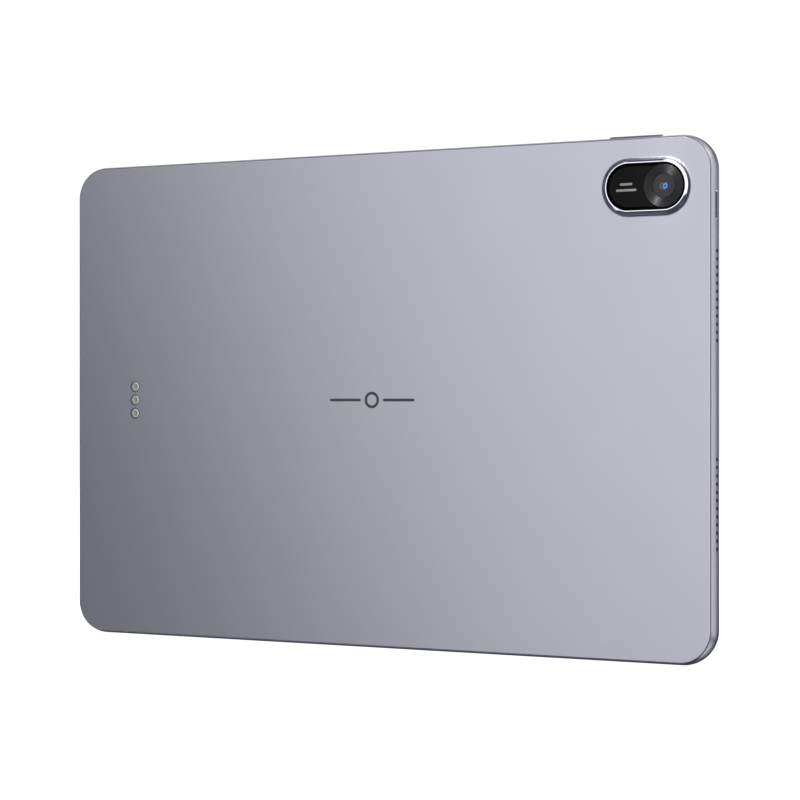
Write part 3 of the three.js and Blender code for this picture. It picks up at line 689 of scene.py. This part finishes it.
def makeKey(name, length, proud, place, node):
    # the cap's rim is chamfered steeply and its crest is broken
    width = keySizes["width"]
    slopeTop = keys["slope"] * (proud - keys["slopeFoot"])
    profile = (
        (0, keys["capFoot"]), (0, keys["slopeFoot"]), (slopeTop, proud - keys["crestDrop"]),
        (slopeTop + keys["crest"], proud),
    )
    cap = [
        (stadiumOutline(length - 2 * inset, width - 2 * inset, keys["steps"]), level)
        for inset, level in profile
    ]
    flangeOutline = roundedOutline(
        length + 2 * keys["flangeReach"], width + keys["flangeSide"], keys["flangeRound"], keys["steps"]
    )
    flange = [(flangeOutline, keys["flangeFoot"]), (flangeOutline, keys["capFoot"])]
    key = loft(name, [[place(u, v, level) for u, v in outline] for outline, level in flange + cap])
    endCut = width / 6
    brightenEnds(key, place, length / 2 - endCut)
    dress(key, [anodisedAluminium, diamondCutAluminium], sharpAngle=30)
    return fit(key, node, "anodised_housing", node)


makeKey("power_key_cap", keySizes["powerLength"], bodyLow.x - powerLow.x, onCameraSide(powerZ), "power_key")
makeKey("volume_key_cap", keySizes["volumeLength"], volumeHigh.z - bodyHigh.z, onTop(volumeX), "volume_key")
print("keys made")


# Accessory contacts: plated pads, each in a moulded collar

# Copper pad plated with a matt nickel alloy: pale warm grey, paler round the worn rim
platedLook = {"drift": 1, "grain": 0.2, "roughness": (0.34, 0.42), "relief": 0.01}
padRim = grainedFinish("plated_pad_rim", {"tones": ("#cbcbc0", "#d2d2c7"), **platedLook}, {"Metallic": 1.0})
padFace = grainedFinish("plated_pad_face", {"tones": ("#b9bab3", "#c0c1ba"), **platedLook}, {"Metallic": 1.0})

# Liquid crystal polymer, moulded: a dull slate grey insulator
collarPolymer = grainedFinish("moulded_polymer", {
    "tones": ("#5c5d68", "#62636e"), "drift": 2, "grain": 0.2, "roughness": (0.5, 0.65), "relief": 0.04,
})

pad = {
    # radius, and height above the back
    "profile": (
        (0, -0.03), (0.95, -0.03), (1.1, -0.015), (1.6, -0.015), (1.7, -0.05), (1.7, -0.7), (0.8, -0.7),
        (0.8, -1.46), (0, -1.46),
    ),
    "steps": 12, "plateBack": -1.5, "plateFront": -0.9, "plateReach": 2.0,
    "bore": 1.75, "stemBore": 0.85, "boreFoot": -0.75, "collarTop": -0.02, "collarEdge": 0.04,
}


def makeContacts():
    radius, front, foot = collar["radius"], pad["plateFront"], pad["boreFoot"]
    top, edge = pad["collarTop"], pad["collarEdge"]
    ring = (
        (pad["bore"], top), (radius - edge, top), (radius, top - edge), (radius, front),
        (pad["stemBore"], front), (pad["stemBore"], foot), (pad["bore"], foot),
    )
    collars = []
    for name, step in (("upper", 1), ("middle", 0), ("lower", -1)):
        z = contactZ + step * collar["pitch"]
        piece = turned(f"contact_{name}", pad["profile"], contactX, z, pad["steps"], bands={"first": 1, 0: 1})
        dress(piece, [padRim, padFace], sharpAngle=30)
        fit(piece, "tablet_body", "contact_metal", f"contact_pad_{name}")
        collars.append(turned("collar", ring, contactX, z, pad["steps"], looped=True))
    reach = radius + pad["plateReach"]
    plate = stadiumOutline(2 * (collar["pitch"] + reach), 2 * reach, pad["steps"])
    upright = [(v, u) for u, v in plate]
    place = onBack(contactX, contactZ)
    collars.append(punch("plate", upright, place, backLevel + pad["plateBack"], backLevel + front))
    insulator = facingOut(joined("contact_collars", collars))
    dress(insulator, [collarPolymer], sharpAngle=30)
    fit(insulator, "tablet_body", "contact_plastic", "contact_insulator")


makeContacts()
print("contacts made")


# Printed mark in the middle of the back: a ring between two bars, a plain sign of no maker

mark = {"width": 34.9, "ringRadius": 2.95, "stroke": 1.0, "gap": 1.6, "barSteps": 8, "ringSteps": 16}


def makeMark():
    low, high = backLevel + printFoot, backLevel + printTop
    barLength = mark["width"] / 2 - mark["ringRadius"] - mark["gap"]
    offset = mark["width"] / 2 - barLength / 2
    parts = []
    bar = stadiumOutline(barLength, mark["stroke"], mark["barSteps"])
    for side in (-1, 1):
        parts.append(punch("bar", bar, onBack(middleX + side * offset, middleZ), low, high))
    inner = mark["ringRadius"] - mark["stroke"]
    profile = ((mark["ringRadius"], low), (mark["ringRadius"], high), (inner, high), (inner, low))

    def outline(radius):
        return circleOutline(radius, mark["ringSteps"])
    parts.append(loft("ring", layRings(outline, profile, onBack(middleX, middleZ)), looped=True))
    sign = facingOut(joined("printed_mark", parts))
    fit(dress(sign, [printedInk]), "tablet_body", "anodised_housing")


makeMark()
print("mark made")


# Screen side: cover glass over a dark display, with its plastic frame as a thin black line round it

screen = {
    "activeInsetX": 8.24, "activeInsetZ": 8.41, "cornerRadius": 12.0, "glassSteps": 24,
    "borderTone": "#050506", "panelTone": "#14151a",
    # the glass's rounded edge: inset from its outline, and depth under its face
    "glassEdge": ((0, 0.22), (0.03, 0.12), (0.1, 0.04), (0.24, 0)),
    # the plastic lip round the glass: inset from the body's outline, and depth under the lip's top
    "lipSection": ((1.1, 0.04), (1.14, 0), (1.52, 0), (1.55, 0.03), (1.55, 0.7), (3.5, 0.7)),
    # front camera's clear hole and its lens, then the light sensor: x, z, radius and colour
    "apertures": (
        (0.0, 171.52, 1.7, "#000000"), (0.0, 171.52, 0.95, "#1c2740"), (-12.0, 171.5, 0.9, "#1b1d22"),
    ),
}


def screenGlass():
    # chemically strengthened glass, ink-backed border, display off: glossy black, the panel a shade bluer
    material, tree, shader, place = startMaterial("strengthened_glass", {
        "IOR": 1.5, "Coat Weight": 0.3, "Coat Roughness": 0.02,
    })
    parts = addNode(tree, "ShaderNodeSeparateXYZ", None, {0: place})
    sizes = (
        ("X", middleX, bodyLength / 2 - screen["activeInsetX"]),
        ("Z", middleZ, bodyHeight / 2 - screen["activeInsetZ"]),
    )
    inside = []
    for axis, middle, half in sizes:
        centred = calculate(tree, "SUBTRACT", parts.outputs[axis], middle * mm)
        inside.append(calculate(tree, "LESS_THAN", calculate(tree, "ABSOLUTE", centred), half * mm))
    panel = calculate(tree, "MULTIPLY", *inside)
    tone = mixColours(tree, panel, toLinear(screen["borderTone"]), toLinear(screen["panelTone"]))
    for x, z, radius, hexColour in screen["apertures"]:
        away = addNode(tree, "ShaderNodeVectorMath", {"operation": "DISTANCE"}, {
            0: place, 1: Vector((x, glassLow.y, z)) * mm,
        })
        hole = calculate(tree, "LESS_THAN", away.outputs["Value"], radius * mm)
        tone = mixColours(tree, hole, tone, toLinear(hexColour))
    smudge = noiseAt(tree, place, sizeMm=35, detail=4.0)
    tree.links.new(tone, shader.inputs["Base Color"])
    tree.links.new(spread(tree, smudge, low=0.03, high=0.09), shader.inputs["Roughness"])
    return material


def makeScreenSide():
    inset = glassLow.x - bodyLow.x

    def outline(extra):
        radius = screen["cornerRadius"] - inset - extra
        return roundedOutline(
            bodyLength - 2 * (inset + extra), bodyHeight - 2 * (inset + extra), radius, screen["glassSteps"]
        )
    edge = [(0, glassHigh.y)] + [(step, glassLow.y + depth) for step, depth in screen["glassEdge"]]
    glass = loft("screen_glass", layRings(outline, edge, onBack(middleX, middleZ)))
    fit(dress(glass, [screenGlass()], sharpAngle=40), "tablet_body", "screen_glass", "cover_glass")

    lip = screen["lipSection"]
    foot = lipHigh.y
    section = [(lip[0][0], foot)] + [(step, lipLow.y + depth) for step, depth in lip] + [(lip[-1][0], foot)]
    rings = layRings(bodyOutline, section, onBack(middleX, middleZ))
    frameLip = loft("display_frame_lip", rings, looped=True)
    fit(dress(frameLip, [mouldedBlack], sharpAngle=30), "tablet_body", "black_plastic", "display_frame")


makeScreenSide()
print("screen side made")


# Charging port: a drawn steel shell round a tongue with its rows of gold contacts

# Stainless steel sheet, drawn and tumbled: bright, with faint lengthwise marks
drawnSteel = grainedFinish("drawn_stainless_steel", {
    "tones": ("#a9abad", "#b7b9bb"), "drift": 3, "grain": 0.25, "roughness": (0.24, 0.36), "relief": 0.02,
}, {"Metallic": 1.0})

# Hard gold over nickel on the contacts: warm and even
goldPlate = grainedFinish("hard_gold_plate", {
    "tones": ("#d8b56a", "#e0bf76"), "drift": 1, "grain": 0.1, "roughness": (0.25, 0.32), "relief": 0.01,
}, {"Metallic": 1.0})

port = {
    "shellLength": 8.94, "shellWidth": 3.16, "wall": 0.28, "shellTop": -2.3, "reach": 7.9,
    "shellRound": 0.06, "steps": 12,
    "tongueLength": 6.69, "tongueThickness": 0.7, "tongueRound": 0.2, "baseTop": -6.9, "tongueTop": -2.45,
    "baseGap": 0.1, "tipTaper": 0.1, "tipRound": 0.12,
    "padCount": 12, "padPitch": 0.5, "padWidth": 0.26, "padLength": 3.2, "padProud": 0.03, "padFromTip": 0.3,
}


bladeTree = rowTree("contact_blades", "GeometryNodeMeshCube", {}, (("Size", "Vector"),))


def makePort():
    place = onPortSide(middleZ)

    def outline(inset):
        return stadiumOutline(port["shellLength"] - 2 * inset, port["shellWidth"] - 2 * inset, port["steps"])
    wall, top, foot, edge = port["wall"], port["shellTop"], -port["reach"], port["shellRound"]
    section = ((0, foot), (0, top - edge), (edge, top), (wall - edge, top), (wall, top - edge), (wall, foot))
    shell = loft("port_shell", layRings(outline, section, place), looped=True)
    fit(dress(shell, [drawnSteel], sharpAngle=30), "tablet_body", "module_steel", "usb_shell")

    length, thickness, taper = port["tongueLength"], port["tongueThickness"], port["tipTaper"]
    base = outline(wall + port["baseGap"])
    blade = roundedOutline(length, thickness, port["tongueRound"], port["steps"])
    tip = roundedOutline(length - 2 * taper, thickness - 2 * taper, port["tipRound"], port["steps"])
    levels = (
        (base, foot), (base, port["baseTop"]), (blade, port["baseTop"]), (blade, port["tongueTop"] - taper),
        (tip, port["tongueTop"]),
    )
    tongue = loft("tongue", [[place(u, v, level) for u, v in shape] for shape, level in levels])
    middleLevel = port["tongueTop"] - port["padFromTip"] - port["padLength"] / 2
    blades = {
        "Count": port["padCount"], "Pitch": port["padPitch"],
        "Size": (port["padWidth"], 2 * port["padProud"], port["padLength"]), "Material": goldPlate,
    }
    rows = []
    for face in (-1, 1):
        def onFace(u, v, level, side=face * thickness / 2):
            return place(u, v + side, level + middleLevel)
        rows.append(growRow("blades", bladeTree, blades, onFace))
    whole = facingOut(joined("port_tongue", [tongue] + rows))
    fit(dress(whole, [mouldedBlack, goldPlate], sharpAngle=30), "tablet_body", "black_plastic", "usb_tongue")


makePort()
print("port made")


# Pieces kept from the frame: their shapes are right, and each gets the finish of its real material

def wovenMesh():
    # hydrophobic polyester monofilament cloth over the speakers: black threads every 0.24 mm
    material, tree, shader, place = startMaterial("woven_acoustic_mesh", {"Roughness": 0.75})
    threadPitch = 0.24 * mm
    bandLength = 0.314  # one band of the wave texture at scale 1
    heights = []
    for axis in ("Y", "Z"):
        wave = addNode(tree, "ShaderNodeTexWave", {"bands_direction": axis}, {
            "Vector": place, "Scale": bandLength / threadPitch, "Distortion": 0.0,
        })
        heights.append(wave.outputs["Fac"])
    cloth = calculate(tree, "MAXIMUM", *heights)
    relief = addNode(tree, "ShaderNodeBump", None, {"Height": cloth, "Strength": 0.4, "Distance": 0.04 * mm})
    tone = mixColours(tree, cloth, toLinear("#030303"), toLinear("#141416"))
    tree.links.new(tone, shader.inputs["Base Color"])
    tree.links.new(relief.outputs["Normal"], shader.inputs["Normal"])
    return material


def solderMask():
    # glass-fibre board under green solder mask: copper tracks raise it in straight runs
    material, tree, shader, place = startMaterial("solder_mask_board", {
        "Coat Weight": 0.2, "Roughness": 0.38,
    })
    turn = addNode(tree, "ShaderNodeMapping", None, {"Vector": place, "Rotation": (math.pi / 2, 0, 0)})
    tracks = addNode(tree, "ShaderNodeTexBrick", None, {
        "Vector": turn.outputs[0], "Scale": 1.0, "Brick Width": 3.2 * mm, "Row Height": 0.6 * mm,
        "Mortar Size": 0.12 * mm, "Color1": toLinear("#0f3d2a"), "Color2": toLinear("#124631"),
        "Mortar": toLinear("#1c6a4a"),
    })
    relief = addNode(tree, "ShaderNodeBump", None, {
        "Height": tracks.outputs["Fac"], "Strength": 0.3, "Distance": 0.03 * mm,
    })
    tree.links.new(tracks.outputs["Color"], shader.inputs["Base Color"])
    tree.links.new(relief.outputs["Normal"], shader.inputs["Normal"])
    return material


innerLooks = {
    # polyimide film, laminated over copper: amber, slightly glossy, lightly creased
    "polyimide_film": ({
        "tones": ("#b4691c", "#c47a28"), "drift": 5, "grain": 0.8, "roughness": (0.28, 0.42), "relief": 0.03,
    }, {}),
    # epoxy moulding compound with ground silica: dull black
    "epoxy_compound": ({
        "tones": ("#1c1c1e", "#232325"), "drift": 1.5, "grain": 0.08, "roughness": (0.5, 0.7), "relief": 0.06,
    }, {}),
    # aluminium-laminated pouch with a nylon skin: dark, softly creased
    "laminated_pouch": ({
        "tones": ("#2a2a2d", "#343438"), "drift": 18, "grain": 6, "roughness": (0.3, 0.45), "relief": 0.03,
    }, {"Coat Weight": 0.2}),
    # acrylic foam tape: matt black with open cells
    "acrylic_foam": ({
        "tones": ("#161616", "#202020"), "drift": 2, "grain": 0.2, "roughness": (0.8, 0.95), "relief": 0.15,
    }, {}),
    # polyester reflector film behind the light guide: clean white, slightly glossy
    "reflector_film": ({
        "tones": ("#e9ebee", "#f2f3f5"), "drift": 30, "grain": 0.5, "roughness": (0.25, 0.35), "relief": 0.01,
    }, {}),
    # rolled graphite foil: dark grey with a flaky sheen
    "graphite_foil": ({
        "tones": ("#38393b", "#47484b"), "drift": 6, "grain": 0.3, "roughness": (0.35, 0.55), "relief": 0.05,
    }, {"Metallic": 0.6}),
    # sintered magnet, nickel plated: bright grey with a pebbled face
    "nickel_plated_magnet": ({
        "tones": ("#b9b6ae", "#c6c3bb"), "drift": 2, "grain": 0.25, "roughness": (0.22, 0.34), "relief": 0.04,
    }, {"Metallic": 1.0}),
}
innerFinishes = {name: grainedFinish(name, look, more) for name, (look, more) in innerLooks.items()}
innerFinishes["woven_mesh"] = wovenMesh()
innerFinishes["board"] = solderMask()
innerFinishes["steel"] = drawnSteel
innerFinishes["black"] = mouldedBlack

kept = {
    "steel": (
        "rear_camera_module", "power_switch", "volume_up_switch", "volume_down_switch", "power_key_bracket",
        "volume_key_bracket", "microphone_top", "microphone_side", "shield_processor", "shield_power",
        "shield_radio", "board_screw_upper", "board_screw_lower_outer", "board_screw_lower_inner",
    ),
    "black": (
        "speaker_camera_side_upper", "speaker_camera_side_lower", "speaker_port_side_upper",
        "speaker_port_side_lower", "front_camera_module", "light_sensor", "antenna_left", "antenna_right",
    ),
    "woven_mesh": (
        "speaker_mesh_camera_side_upper", "speaker_mesh_camera_side_lower",
        "speaker_mesh_port_side_upper", "speaker_mesh_port_side_lower",
    ),
    "board": ("main_board", "port_board", "contact_board", "battery_protection_board"),
    "polyimide_film": ("rear_camera_flex", "main_flex", "display_flex"),
    "epoxy_compound": ("main_processor", "power_chip", "radio_chip"),
    "laminated_pouch": ("battery_cell_left", "battery_cell_right"),
    "acrylic_foam": ("display_adhesive",),
    "reflector_film": ("backlight_unit", "lcd_panel"),
    "graphite_foil": ("graphite_sheet",),
    "nickel_plated_magnet": ("cover_magnet_left", "cover_magnet_right"),
}
for finish, nodes in kept.items():
    for node in nodes:
        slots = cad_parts[node].data.materials
        slots.clear()
        slots.append(innerFinishes[finish])
print("inner pieces painted")


# Floor, light and camera

studio = {
    "floorSize": 6.0, "floorColour": "#f4f4f4",
    "nearGlow": 0.9, "farGlow": 1.05, "glowFrom": 0.2, "glowTo": 0.6,
    "surround": 1.05, "ambient": 0.095, "ambientColour": "#d3d6ff",
}


def makeFloor():
    half = studio["floorSize"] / 2
    mesh = bpy.data.meshes.new("floor")
    corners = [(-half, -half, 0), (half, -half, 0), (half, half, 0), (-half, half, 0)]
    mesh.from_pydata(corners, [], [(0, 1, 2, 3)])
    floor = addObject("floor", mesh)
    # a lit acrylic table top: white, with its own glow, so only a faint shadow gathers under the tablet; the
    # glow is weaker near the tablet, a painted shade round its foot
    material, tree, shader, place = startMaterial("lit_table_top", {
        "Base Color": toLinear(studio["floorColour"]), "Emission Color": (1, 1, 1, 1),
        "Roughness": 0.9, "Specular IOR Level": 0.0,
    })
    away = addNode(tree, "ShaderNodeVectorMath", {"operation": "LENGTH"}, {0: place})
    glow = addNode(tree, "ShaderNodeMapRange", {"interpolation_type": "SMOOTHSTEP"}, {
        "Value": away.outputs["Value"], "From Min": studio["glowFrom"], "From Max": studio["glowTo"],
        "To Min": studio["nearGlow"], "To Max": studio["farGlow"],
    })
    tree.links.new(glow.outputs["Result"], shader.inputs["Emission Strength"])
    mesh.materials.append(material)
    floor.visible_glossy = False
    floor.visible_diffuse = False
    floor.visible_shadow = False


def makeWorld():
    # white surroundings for the eye, dim and faintly cool as a source of light
    world = bpy.data.worlds.new("studio")
    bpy.context.scene.world = world
    world.use_nodes = True
    tree = world.node_tree
    tree.nodes.clear()
    seen = addNode(tree, "ShaderNodeBackground", None, {
        "Color": (1, 1, 1, 1), "Strength": studio["surround"],
    })
    light = addNode(tree, "ShaderNodeBackground", None, {
        "Color": toLinear(studio["ambientColour"]), "Strength": studio["ambient"],
    })
    path = addNode(tree, "ShaderNodeLightPath")
    mixed = addNode(tree, "ShaderNodeMixShader", None, {
        0: path.outputs["Is Camera Ray"], 1: light.outputs[0], 2: seen.outputs[0],
    })
    addNode(tree, "ShaderNodeOutputWorld", None, {"Surface": mixed.outputs[0]})


lights = {
    # place, target, width and height in metres, roll in degrees, watts
    "key_softbox": ((-0.084, 1.2, 0.617), (0.0, 0.0, 0.09), 2.3, 2.29, 7.4, 21.2),
    "side_strip": ((-1.16, -0.50, 0.4), (-0.13, 0.0, 0.12), 0.32, 1.7, 0, 2.5),
    "side_fill": ((-0.93, -0.82, 0.4), (-0.13, 0.0, 0.12), 0.52, 1.7, 0, 2.2),
    "corner_fill": ((-0.64, -0.47, 1.08), (-0.12, 0.0, 0.17), 1.2, 0.9, 0, 2.4),
    "corner_bounce": ((-0.78, -0.42, -0.8), (-0.12, 0.0, 0.02), 1.0, 0.8, 0, 2.2),
    "port_fill": ((1.35, -0.1, 0.2), (0.13, 0.0, 0.09), 0.5, 0.8, 0, 0.8),
    "floor_bounce": ((0.5, 0.05, -0.9), (-0.1, 0.0, 0.15), 0.6, 0.6, 0, 0.35),
    "front_fill": ((-0.3, -1.5, 0.25), (0.0, 0.0, 0.09), 0.5, 0.6, 20, 0.4),
    "rim_fill": ((0.0, -1.1, 1.2), (0.0, 0.0, 0.09), 1.0, 0.4, 0, 0.6),
    "low_fill": ((0.9, 0.63, -0.4), (0.0, 0.0, 0.09), 0.34, 0.34, 0, 0.28),
    "screen_fill": ((0.75, -1.3, 0.9), (0.0, 0.0, 0.09), 1.0, 1.0, 0, 2),
    "top_fill": ((0.1, 0.15, 1.5), (0.0, 0.0, 0.09), 0.8, 0.5, 0, 0.9),
}


def addLamp(name, data, place, aim, roll=0):
    lamp = addObject(name, data)
    lamp.location = place
    lamp.rotation_mode = "QUATERNION"
    lamp.rotation_quaternion = aim.to_track_quat("-Z", "Y") @ Quaternion((0, 0, 1), math.radians(roll))
    lamp.visible_camera = False


def makeLights():
    for name, (place, target, width, height, roll, watts) in lights.items():
        data = bpy.data.lights.new(name, "AREA")
        data.shape = "RECTANGLE"
        data.size, data.size_y, data.energy = width, height, watts
        addLamp(name, data, place, Vector(target) - Vector(place), roll)


# metres, degrees and watts; the direction is from the lens to the lamp
lensSpot = {
    "direction": (0, 0.49, 0.87), "distance": 0.9, "beam": 1.05, "softness": 0.25, "radius": 0.006,
    "watts": 75,
}


def makeLensSpot():
    # a narrow beam from above on the camera alone, to show the turning marks round the lens
    lens = Vector((lensX, backLevel, lensZ)) * mm
    direction = Vector(lensSpot["direction"]).normalized()
    data = bpy.data.lights.new("lens_spot", "SPOT")
    data.energy, data.shadow_soft_size = lensSpot["watts"], lensSpot["radius"]
    data.spot_size, data.spot_blend = math.radians(lensSpot["beam"]), lensSpot["softness"]
    addLamp("lens_spot", data, lens + direction * lensSpot["distance"], -direction)


# place and aim in metres, lens and sensor in millimetres
viewpoint = {
    "lens": 111.09, "sensor": 36, "place": (-0.4457, 0.7607, 0.08841), "aim": (0.49735, -0.86755, 0.0),
}


def makeCamera():
    data = bpy.data.cameras.new("camera")
    data.sensor_width, data.lens = viewpoint["sensor"], viewpoint["lens"]
    view = addObject("camera", data)
    view.location = viewpoint["place"]
    view.rotation_mode = "QUATERNION"
    view.rotation_quaternion = Vector(viewpoint["aim"]).to_track_quat("-Z", "Y")
    bpy.context.scene.camera = view


makeFloor()
makeWorld()
makeLights()
makeLensSpot()
makeCamera()
bpy.context.scene.view_settings.view_transform = "Standard"
print("studio made")
